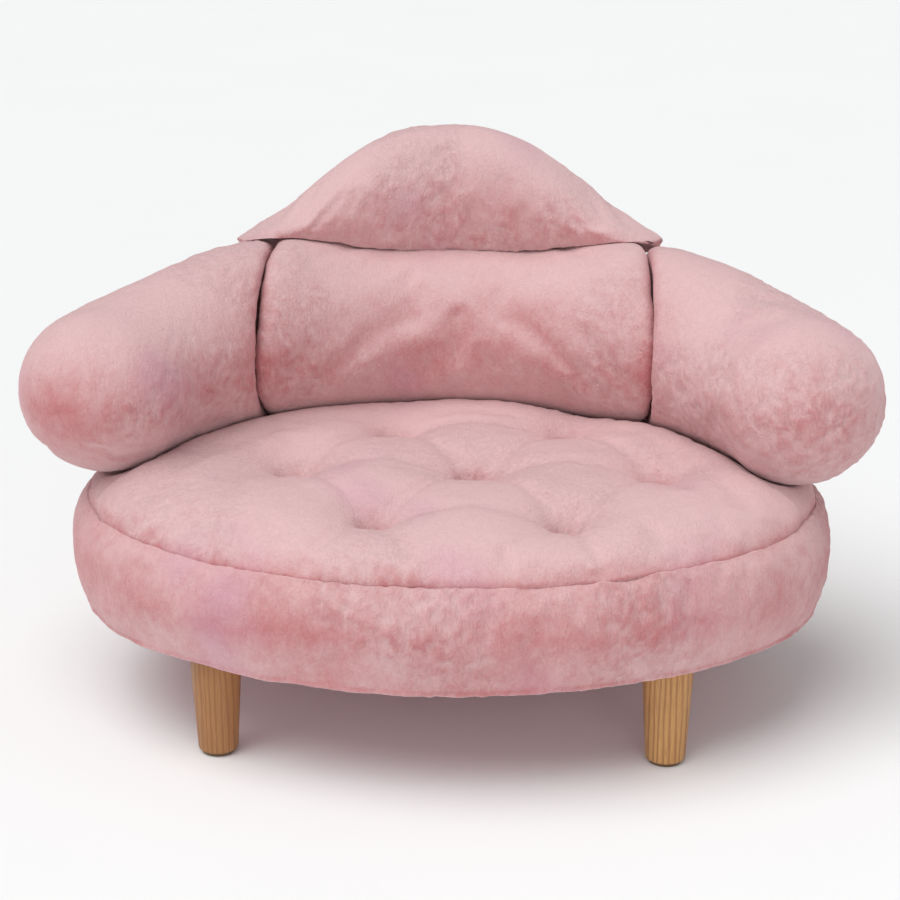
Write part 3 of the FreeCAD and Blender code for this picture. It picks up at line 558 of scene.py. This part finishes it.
def build_band():
    """The back band, between its seams with the two arms."""
    around = around_roll()
    steps = int(2 * math.asin(SEAM_X / PATH_R) * PATH_R / CELL)
    shares = np.linspace(-1, 1, steps)
    edge = SEAM_X - SEAM_GAP
    meet = np.arcsin(edge / (PATH_R + ROLL_R * np.cos(around)))
    rings = [roll_point(share * meet, around, lip((1 - abs(share)) * SEAM_X)) for share in shares]
    rings = [roll_point(-meet, around, TURN_IN)] + rings + [roll_point(meet, around, TURN_IN)]
    obj = ring_mesh("back_band", rings)
    face_out(obj)
    points = coords(obj)
    rests = 1 - smooth(ROLL_Z - ROLL_R * 0.75, ROLL_Z - ROLL_R * 0.55, points[:, 2])
    puff(obj, np.maximum(1 - smooth(0.001, 0.008, -from_seam(points)), rests), 0.004, slack=0.012)
    subdivide(obj)
    return obj


def build_arm(side):
    """An arm: a roll that rises towards the back, with a full rounded end."""
    around = around_roll()
    edge = SEAM_X + SEAM_GAP
    meet = np.arcsin(edge / (PATH_R + ROLL_R * np.cos(around)))
    steps = int((END_ANGLE - meet.mean()) * PATH_R / CELL)
    rings = [roll_point(meet, around, TURN_IN)]
    for share in np.linspace(0, 1, steps):
        angle = meet + (END_ANGLE - meet) * share
        rings.append(roll_point(angle, around, lip(share * (END_ANGLE - meet.mean()) * PATH_R)))
    ahead = np.array([math.cos(END_ANGLE), -math.sin(END_ANGLE), 0])
    last = rings[-1]
    centre = np.array([END_X, END_Y, ROLL_Z])
    turns = int(math.pi / 2 * ROLL_R / CELL)
    for turn in range(1, turns):
        tilt = turn / turns * math.pi / 2
        rings.append(centre + (last - centre) * math.cos(tilt) + ahead * ROLL_R * math.sin(tilt) * 0.985)
    rings = [ring * np.array([side, 1, 1]) for ring in rings]
    obj = ring_mesh("arm_right" if side > 0 else "arm_left", rings)
    face_out(obj)
    points = coords(obj)
    rests = (1 - smooth(ROLL_Z - ROLL_R * 0.8, ROLL_Z - ROLL_R * 0.6, points[:, 2])) * 0.9
    puff(obj, np.maximum(1 - smooth(0.001, 0.008, from_seam(points)), rests), 0.0035, slack=0.010)
    subdivide(obj)
    return obj


# ---------------------------------------------------------------- raised back

HUMP_R = (HUMP_HIGH[1] - PATH_Y) - 0.042
HUMP_HALF = 0.0415
HUMP_ENDS = math.radians(-35.5), math.radians(31.5)
HUMP_PEAK_X = -0.010
HUMP_SPREAD = 0.149
HUMP_FOOT = 0.330


def crest(x):
    return HUMP_FOOT + (HUMP_HIGH[2] - HUMP_FOOT) * np.exp(-np.abs((x - HUMP_PEAK_X) / HUMP_SPREAD) ** 2.5)


def roll_top(angle, radial):
    """Height of the roll's upper surface at a distance from the path's centre."""
    across = np.clip((radial - PATH_R) / ROLL_R, -0.985, 0.985)
    return ROLL_Z + shoulder(angle) * np.sqrt(1 - across ** 2)


def build_hump():
    """The raised back: a tall pillow that stands behind the band and pinches in at their seam."""
    angles = np.linspace(*HUMP_ENDS, int((HUMP_ENDS[1] - HUMP_ENDS[0]) * HUMP_R / CELL))[1:-1]
    over = 56
    under = 16
    rings = []
    for angle in angles:
        fade = math.sqrt(1 - (angle / HUMP_ENDS[int(angle > 0)]) ** 2.4)
        half = HUMP_HALF * (0.10 + 0.90 * fade)
        base = roll_top(angle, HUMP_R)
        gap = 0.0012 * smooth(0.0, 0.45, fade)
        top = max(crest(HUMP_R * math.sin(angle)), base + 0.003 * fade + gap)
        middle = base + 0.48 * (top - base)
        drop = (middle - base) * 1.45
        start = -math.asin(min(0.999, (middle - base) / drop))
        tilt = np.linspace(math.pi - start, start, over)
        radial = HUMP_R + half * np.cos(tilt)
        height = middle + np.where(np.sin(tilt) > 0, top - middle, drop) * np.sin(tilt)
        radial_back = np.linspace(radial[-1], radial[0], under + 2)[1:-1]
        height = np.maximum(height, roll_top(angle, radial) + gap)
        radial = np.concatenate([radial, radial_back])
        height = np.concatenate([height, roll_top(angle, radial_back) + gap])
        rings.append(np.stack([radial * math.sin(angle), PATH_Y + radial * math.cos(angle), height], axis=1))
    obj = ring_mesh("hump", rings)
    face_out(obj)
    points = coords(obj)
    angle = np.arctan2(points[:, 0], points[:, 1] - PATH_Y)
    clear = points[:, 2] - roll_top(angle, np.hypot(points[:, 0], points[:, 1] - PATH_Y))
    puff(obj, 1 - smooth(0.003, 0.018, clear), 0.006, slack=0.014)
    subdivide(obj)
    return obj


# ---------------------------------------------------------------- pile, puckers and wrinkles


def pile(obj, seed, tall=0.0007, seams=(), tint=0.0):
    """Soft wrinkles, seam puckers and the pile's brushed tufts, pressed into the mesh along its normals, and
    a colour attribute of pile tone with painted shade on side-facing surfaces and in the creases along the
    seams.
    """
    points, out = coords(obj), normals(obj)
    lift = 0.0011 * lattice(points, 0.055, seed) + 0.0006 * lattice(points, 0.024, seed + 3)
    brushed = warped(points, 0.0085, seed + 7)
    tufts = warped(points, 0.0052, seed + 11, 1.1)
    patch = smooth(-0.35, 0.45, lattice(points, 0.075, seed + 17) + 0.3 * lattice(points, 0.03, seed + 19))
    lift += tall * patch * (0.55 * brushed + 0.6 * tufts) + 0.00022 * tufts
    painted_crease_shade = np.zeros(len(points))
    for distance, strength in seams:
        pucker = lattice(points, 0.017, seed + 23) + 0.5 * lattice(points, 0.008, seed + 29)
        lift += strength * 0.0011 * pucker * np.exp(-distance / 0.009)
        painted_crease_shade = np.maximum(painted_crease_shade, strength * np.exp(-distance / 0.011))
    set_coords(obj, points + out * lift[:, None])
    drifts = 0.75 * lattice(points, 0.085, seed + 31) + 0.45 * lattice(points, 0.034, seed + 37)
    nap = 0.5 + 0.5 * np.clip(drifts + 0.30 * brushed + 0.22 * tufts, -1, 1)
    # Colour attribute: pile tone from nap, tufts and patches, plus painted shade that is deeper on
    # side-facing surfaces and in creases along the seams, plus the tint given by each call.
    painted_side_shade = 1 - np.abs(out[:, 2])
    pile_tone_and_painted_shade = 0.03 + painted_side_shade * (0.24 + 0.42 * nap) + 0.08 * nap + 0.26 * painted_crease_shade + 0.13 * tufts * patch + tint
    pile_tone_and_painted_shade = np.clip(pile_tone_and_painted_shade, 0, 1)
    layer = obj.data.attributes.new("pile_tone_and_painted_shade", "FLOAT", "POINT")
    layer.data.foreach_set("value", pile_tone_and_painted_shade.astype(np.float32))
    crush = obj.data.attributes.new("crush", "FLOAT", "POINT")
    crush.data.foreach_set("value", np.clip(patch, 0, 1).astype(np.float32))


# ---------------------------------------------------------------- materials


def linear(red, green, blue):
    """A display colour, 0 to 255, as linear light."""
    parts = [channel / 255 for channel in (red, green, blue)]
    return tuple(c / 12.92 if c <= 0.04045 else ((c + 0.055) / 1.055) ** 2.4 for c in parts) + (1,)


class Shade:
    """Builds a node material step by step."""

    def __init__(self, name):
        self.material = bpy.data.materials.new(name)
        self.material.use_nodes = True
        self.tree = self.material.node_tree
        self.shader = self.tree.nodes["Principled BSDF"]
        self.place = self.node("ShaderNodeTexCoord").outputs["Object"]

    def node(self, kind, **inputs):
        made = self.tree.nodes.new(kind)
        for key, given in inputs.items():
            self.put(made.inputs[key], given)
        return made

    def put(self, socket, given):
        if isinstance(given, bpy.types.NodeSocket):
            self.tree.links.new(given, socket)
        else:
            socket.default_value = given

    def stretch(self, scale, turn=(0, 0, 0)):
        mapping = self.node("ShaderNodeMapping", Vector=self.place)
        mapping.inputs["Scale"].default_value = scale
        mapping.inputs["Rotation"].default_value = turn
        return mapping.outputs[0]

    def noise(self, scale, detail=3.0, rough=0.55, bend=0.0, place=None):
        made = self.node("ShaderNodeTexNoise", Vector=place or self.place, Scale=scale, Detail=detail,
                         Roughness=rough, Distortion=bend)
        return made.outputs["Fac"]

    def maths(self, kind, *values):
        made = self.tree.nodes.new("ShaderNodeMath")
        made.operation = kind
        for socket, given in zip(made.inputs, values):
            self.put(socket, given)
        return made.outputs[0]

    def span(self, given, low, high, new_low=0.0, new_high=1.0):
        made = self.node("ShaderNodeMapRange", Value=given)
        made.interpolation_type = "SMOOTHSTEP"
        for key, number in zip(("From Min", "From Max", "To Min", "To Max"), (low, high, new_low, new_high)):
            made.inputs[key].default_value = number
        return made.outputs["Result"]

    def mix(self, factor, first, second):
        made = self.tree.nodes.new("ShaderNodeMix")
        made.data_type = "RGBA"
        self.put(made.inputs[0], factor)
        self.put(made.inputs[6], first)
        self.put(made.inputs[7], second)
        return made.outputs[2]

    def read(self, name):
        made = self.tree.nodes.new("ShaderNodeAttribute")
        made.attribute_name = name
        return made.outputs["Fac"]

    def bump(self, height, strength, distance):
        made = self.node("ShaderNodeBump", Height=height)
        made.inputs["Strength"].default_value = strength
        made.inputs["Distance"].default_value = distance
        self.put(self.shader.inputs["Normal"], made.outputs[0])

    def set(self, **inputs):
        names = {"color": "Base Color", "rough": "Roughness", "metal": "Metallic", "sheen": "Sheen Weight",
                 "sheen_rough": "Sheen Roughness", "sheen_tint": "Sheen Tint",
                 "specular": "Specular IOR Level", "coat": "Coat Weight", "coat_rough": "Coat Roughness"}
        for key, given in inputs.items():
            self.put(self.shader.inputs[names[key]], given)
        return self


def plush_material(name, pale, deep, cool):
    """Short brushed plush: pale where the pile lies away, deeper where it stands and where painted shade lies
    on side-facing surfaces and in seam creases, cool in patches.
    """
    shade = Shade(name)
    pile_tone_and_painted_shade, crush = shade.read("pile_tone_and_painted_shade"), shade.read("crush")
    grain = shade.noise(420, 3, 0.6, 0.6)
    strands = shade.noise(260, 4, 0.65, 1.4, shade.stretch((1, 1, 0.45), (0.4, 0.2, 0.6)))
    tone = shade.maths("ADD", pile_tone_and_painted_shade, shade.maths("MULTIPLY", shade.maths("SUBTRACT", strands, 0.5), 0.42))
    tone = shade.maths("ADD", tone, shade.maths("MULTIPLY", shade.maths("SUBTRACT", grain, 0.5), 0.25))
    color = shade.mix(shade.span(tone, 0.05, 0.95), pale, deep)
    cast = shade.span(shade.noise(9, 2, 0.5), 0.56, 0.78, 0.0, 0.45)
    color = shade.mix(cast, color, cool)
    height = shade.maths("ADD", shade.maths("MULTIPLY", strands, shade.span(crush, 0, 1, 0.7, 1.3)),
                         shade.maths("MULTIPLY", grain, 0.5))
    shade.bump(height, 0.65, 0.0022)
    return shade.set(color=color, rough=shade.span(grain, 0.3, 0.7, 0.82, 0.96), sheen=0.55, sheen_rough=0.42,
                     sheen_tint=linear(255, 226, 228), specular=0.12).material


def cloth_material(name, light, dark, threads=900.0):
    """A plain weave of crossing threads."""
    shade = Shade(name)
    along = shade.node("ShaderNodeTexWave", Vector=shade.place, Scale=threads / 6.283)
    across = shade.node("ShaderNodeTexWave", Vector=shade.place, Scale=threads / 6.283)
    across.bands_direction = "Y"
    weave = shade.maths("MULTIPLY", along.outputs["Fac"], across.outputs["Fac"])
    wear = shade.noise(35, 4)
    tone = shade.maths("ADD", shade.maths("MULTIPLY", weave, 0.6), shade.maths("MULTIPLY", wear, 0.6))
    shade.bump(tone, 0.5, 0.0006)
    return shade.set(color=shade.mix(shade.span(tone, 0.1, 1.0), dark, light),
                     rough=shade.span(wear, 0.3, 0.7, 0.8, 0.95), sheen=0.15, specular=0.15).material


def wood_material(name, pale, honey, dark, grain_scale=60.0, coat=0.0, drift=0.0):
    """Upright straight grain with darker growth lines and fine pores; drift darkens it to the left."""
    shade = Shade(name)
    long = shade.stretch((1, 1, 0.06))
    flow = shade.noise(grain_scale * 0.35, 3, 0.5, 0.3, long)
    rings = shade.node("ShaderNodeTexWave", Vector=long, Scale=grain_scale, Distortion=5.0, Detail=3.0)
    rings.inputs["Detail Scale"].default_value = 1.2
    fine = shade.noise(grain_scale * 14, 4, 0.6, 0.0, shade.stretch((1, 1, 0.03)))
    pores = shade.span(shade.noise(grain_scale * 30, 2, 0.5, 0.0, shade.stretch((1, 1, 0.05))), 0.62, 0.75)
    color = shade.mix(shade.span(flow, 0.3, 0.7), pale, honey)
    color = shade.mix(shade.span(rings.outputs["Fac"], 0.45, 1.0, 0.0, 0.55), color, dark)
    color = shade.mix(shade.span(fine, 0.35, 0.75, 0.0, 0.35), color, dark)
    color = shade.mix(shade.maths("MULTIPLY", pores, 0.4), color, dark)
    if drift:
        across = shade.node("ShaderNodeSeparateXYZ", Vector=shade.place).outputs[0]
        color = shade.mix(shade.span(across, -0.2, 0.16, drift, 0.0), color, dark)
    shade.bump(shade.maths("SUBTRACT", fine, pores), 0.25, 0.0004)
    return shade.set(color=color, rough=shade.span(fine, 0.2, 0.8, 0.38, 0.58), specular=0.4, coat=coat,
                     coat_rough=0.3).material


def plain_material(name, light, dark, rough, metal=0.0):
    """Metal or plastic with slight mottling and fine scratches."""
    shade = Shade(name)
    mottle, scratch = shade.noise(120, 5), shade.noise(960, 3, 0.6, 0.0, shade.stretch((1, 0.08, 1)))
    shade.bump(shade.maths("ADD", mottle, scratch), 0.3, 0.0003)
    return shade.set(color=shade.mix(shade.span(mottle, 0.3, 0.7), dark, light), metal=metal,
                     rough=shade.span(scratch, 0.3, 0.7, rough - 0.08, rough + 0.1)).material


def felt_material(name, light, dark):
    """Matted felt fibres."""
    shade = Shade(name)
    fibres = shade.noise(700, 5, 0.7, 1.5)
    shade.bump(fibres, 0.8, 0.0008)
    return shade.set(color=shade.mix(shade.span(fibres, 0.3, 0.7), dark, light), rough=0.95, sheen=0.3,
                     specular=0.1).material


PALE, DEEP, COOL = linear(219, 182, 183), linear(190, 116, 119), linear(202, 152, 172)
SLOT_MATERIALS = {
    "plush": plush_material("plush", PALE, DEEP, COOL),
    "lining": cloth_material("lining", linear(222, 176, 182), linear(192, 138, 146)),
    "foam": felt_material("foam", linear(246, 240, 214), linear(226, 214, 178)),
    "wadding": felt_material("wadding", linear(250, 250, 248), linear(228, 228, 226)),
    "plywood": wood_material("plywood", linear(222, 190, 140), linear(206, 168, 116), linear(160, 120, 76)),
    "pine": wood_material("pine", linear(232, 204, 152), linear(218, 182, 124), linear(176, 128, 74)),
    "leg_wood": wood_material("leg_wood", linear(208, 160, 104), linear(190, 138, 80), linear(136, 84, 46),
                              75.0, 0.12, 0.6),
    "steel": plain_material("steel", linear(196, 198, 202), linear(150, 152, 158), 0.34, 1.0),
    "felt": felt_material("felt", linear(140, 116, 90), linear(96, 78, 60)),
    "twine": cloth_material("twine", linear(236, 226, 210), linear(196, 184, 166), 2600.0),
    "washer_plastic": plain_material("washer_plastic", linear(236, 236, 232), linear(218, 218, 214), 0.45),
    "zip_tape": cloth_material("zip_tape", linear(224, 164, 174), linear(196, 132, 144), 2400.0),
    "zip_coil": plain_material("zip_coil", linear(226, 166, 176), linear(206, 144, 156), 0.4),
    "zip_metal": plain_material("zip_metal", linear(224, 170, 178), linear(200, 142, 152), 0.3, 0.7),
}


def wear(obj, slot_name):
    obj.data.materials.clear()
    obj.data.materials.append(SLOT_MATERIALS[slot_name])


for row in frame["record"]["subparts"]:
    carried = frame["nodes"][row["node"]]
    for place in carried.material_slots:
        place.material = SLOT_MATERIALS[row["material_slot"]]

# ---------------------------------------------------------------- make the soft pieces

ROOT = "sofa"


def finish_soft(obj, slot_name, fill, *nodes):
    wear(obj, slot_name)
    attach(obj, ROOT)
    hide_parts(*nodes)


seat_top = build_seat_top()
places = coords(seat_top)
clear = np.abs(seat_inset(places) - SEAM_INSET) + np.maximum(places[:, 2] - SEAM_Z - 0.004, 0)
pile(seat_top, 1, 0.00055, [(clear, 1.0)])
finish_soft(seat_top, "plush", 0.7, "seat_top_cover", "seat_wadding", "seat_foam_core")

seat_band = build_seat_band()
places = coords(seat_band)
seams = [(np.abs(places[:, 2] - SEAM_Z), 0.9), (np.abs(places[:, 2] - UNDER_HIGH[2]), 0.5)]
# Painted shade: the tint makes the side band a deeper pink round its middle height.
pile(seat_band, 2, 0.0012, seams, 0.13 * np.exp(-((places[:, 2] - 0.131) / 0.028) ** 2))
finish_soft(seat_band, "plush", 0.8, "seat_side_band")

underside, cut_area = build_underside()
wear(underside, "lining")
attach(underside, ROOT)
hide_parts("underside_panel")

coils = build_zip_coils()
wear(coils, "zip_coil")
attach(coils, ROOT)
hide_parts("zip_teeth")

band = build_band()
places = coords(band)
clear = np.abs(np.hypot(places[:, 0], places[:, 1] - PATH_Y) - (HUMP_R - HUMP_HALF)) + 0.4 * np.abs(
    places[:, 2] - ROLL_Z - ROLL_R)
pile(band, 3, 0.0006, [(-from_seam(places), 0.8), (clear, 0.7)])
finish_soft(band, "plush", 0.75, "back_band_cover", "back_band_fill")

for side, word in ((-1, "left"), (1, "right")):
    arm = build_arm(side)
    places = coords(arm)
    tip = np.array([side * (END_X + 0.4 * ROLL_R), END_Y - 0.9 * ROLL_R, ROLL_Z - 0.15 * ROLL_R])
    pile(arm, 6 + side, 0.0010, [(np.maximum(from_seam(places), 0), 0.8)],
         0.13 * np.exp(-(np.linalg.norm(places - tip, axis=1) / 0.055) ** 2))
    finish_soft(arm, "plush", 0.8, f"arm_cover_{word}", f"arm_fill_{word}")

hump = build_hump()
places = coords(hump)
at_angle = np.arctan2(places[:, 0], places[:, 1] - PATH_Y)
above = places[:, 2] - roll_top(at_angle, np.hypot(places[:, 0], places[:, 1] - PATH_Y))
pile(hump, 4, 0.0008, [(np.maximum(above, 0) * 0.4, 0.75)], -0.16)
finish_soft(hump, "plush", 0.75, "hump_cover", "hump_fill")

# ---------------------------------------------------------------- camera, light and floor

AZIMUTH, ELEVATION, DISTANCE = math.radians(3.0), math.radians(19.0), 2.0
FOCAL = 95.2                     # millimetres, on a sensor 36 mm wide
AIM = Vector((0, 0, 0.2))
SHIFT = -1 / 900, 7 / 900        # of the picture's width


def add_camera():
    data = bpy.data.cameras.new("camera")
    data.sensor_width, data.lens = 36, FOCAL
    data.shift_x, data.shift_y = SHIFT
    camera = bpy.data.objects.new("camera", data)
    away = Vector((math.sin(AZIMUTH) * math.cos(ELEVATION), -math.cos(AZIMUTH) * math.cos(ELEVATION),
                   math.sin(ELEVATION)))
    camera.location = AIM + away * DISTANCE
    camera.rotation_euler = away.to_track_quat("Z", "Y").to_euler()
    bpy.context.scene.collection.objects.link(camera)
    bpy.context.scene.camera = camera


def add_lamp(name, kind, place, power, size, color=(1, 1, 1)):
    """A soft light at a place, aimed at the sofa."""
    data = bpy.data.lights.new(name, kind)
    data.energy, data.color = power, color
    if kind == "SUN":
        data.angle = size
    else:
        data.size = size
    lamp = bpy.data.objects.new(name, data)
    lamp.location = place
    lamp.rotation_euler = (Vector(place) - AIM).to_track_quat("Z", "Y").to_euler()
    bpy.context.scene.collection.objects.link(lamp)


def add_floor():
    """A wide, plain, pale floor."""
    floor = new_object("floor", [(-7, -4, 0), (7, -4, 0), (7, 9, 0), (-7, 9, 0)], [(0, 1, 2, 3)])
    shade = Shade("floor")
    shade.set(color=shade.mix(shade.noise(3, 2), linear(239, 240, 240), linear(242, 242, 242)), rough=0.9)
    shade.set(specular=0.1)
    floor.data.materials.append(shade.material)


add_camera()
add_floor()
add_lamp("key", "SUN", (-0.8, -0.6, 2.4), 2.2, math.radians(55), (0.99, 1.0, 1.0))
add_lamp("front", "AREA", (0.7, -2.6, 0.7), 14, 1.6)
world = bpy.data.worlds.new("studio")
world.use_nodes = True
world.node_tree.nodes["Background"].inputs[0].default_value = (1, 1, 1, 1)
world.node_tree.nodes["Background"].inputs[1].default_value = 0.42
bpy.context.scene.world = world
bpy.context.scene.view_settings.view_transform = "Standard"
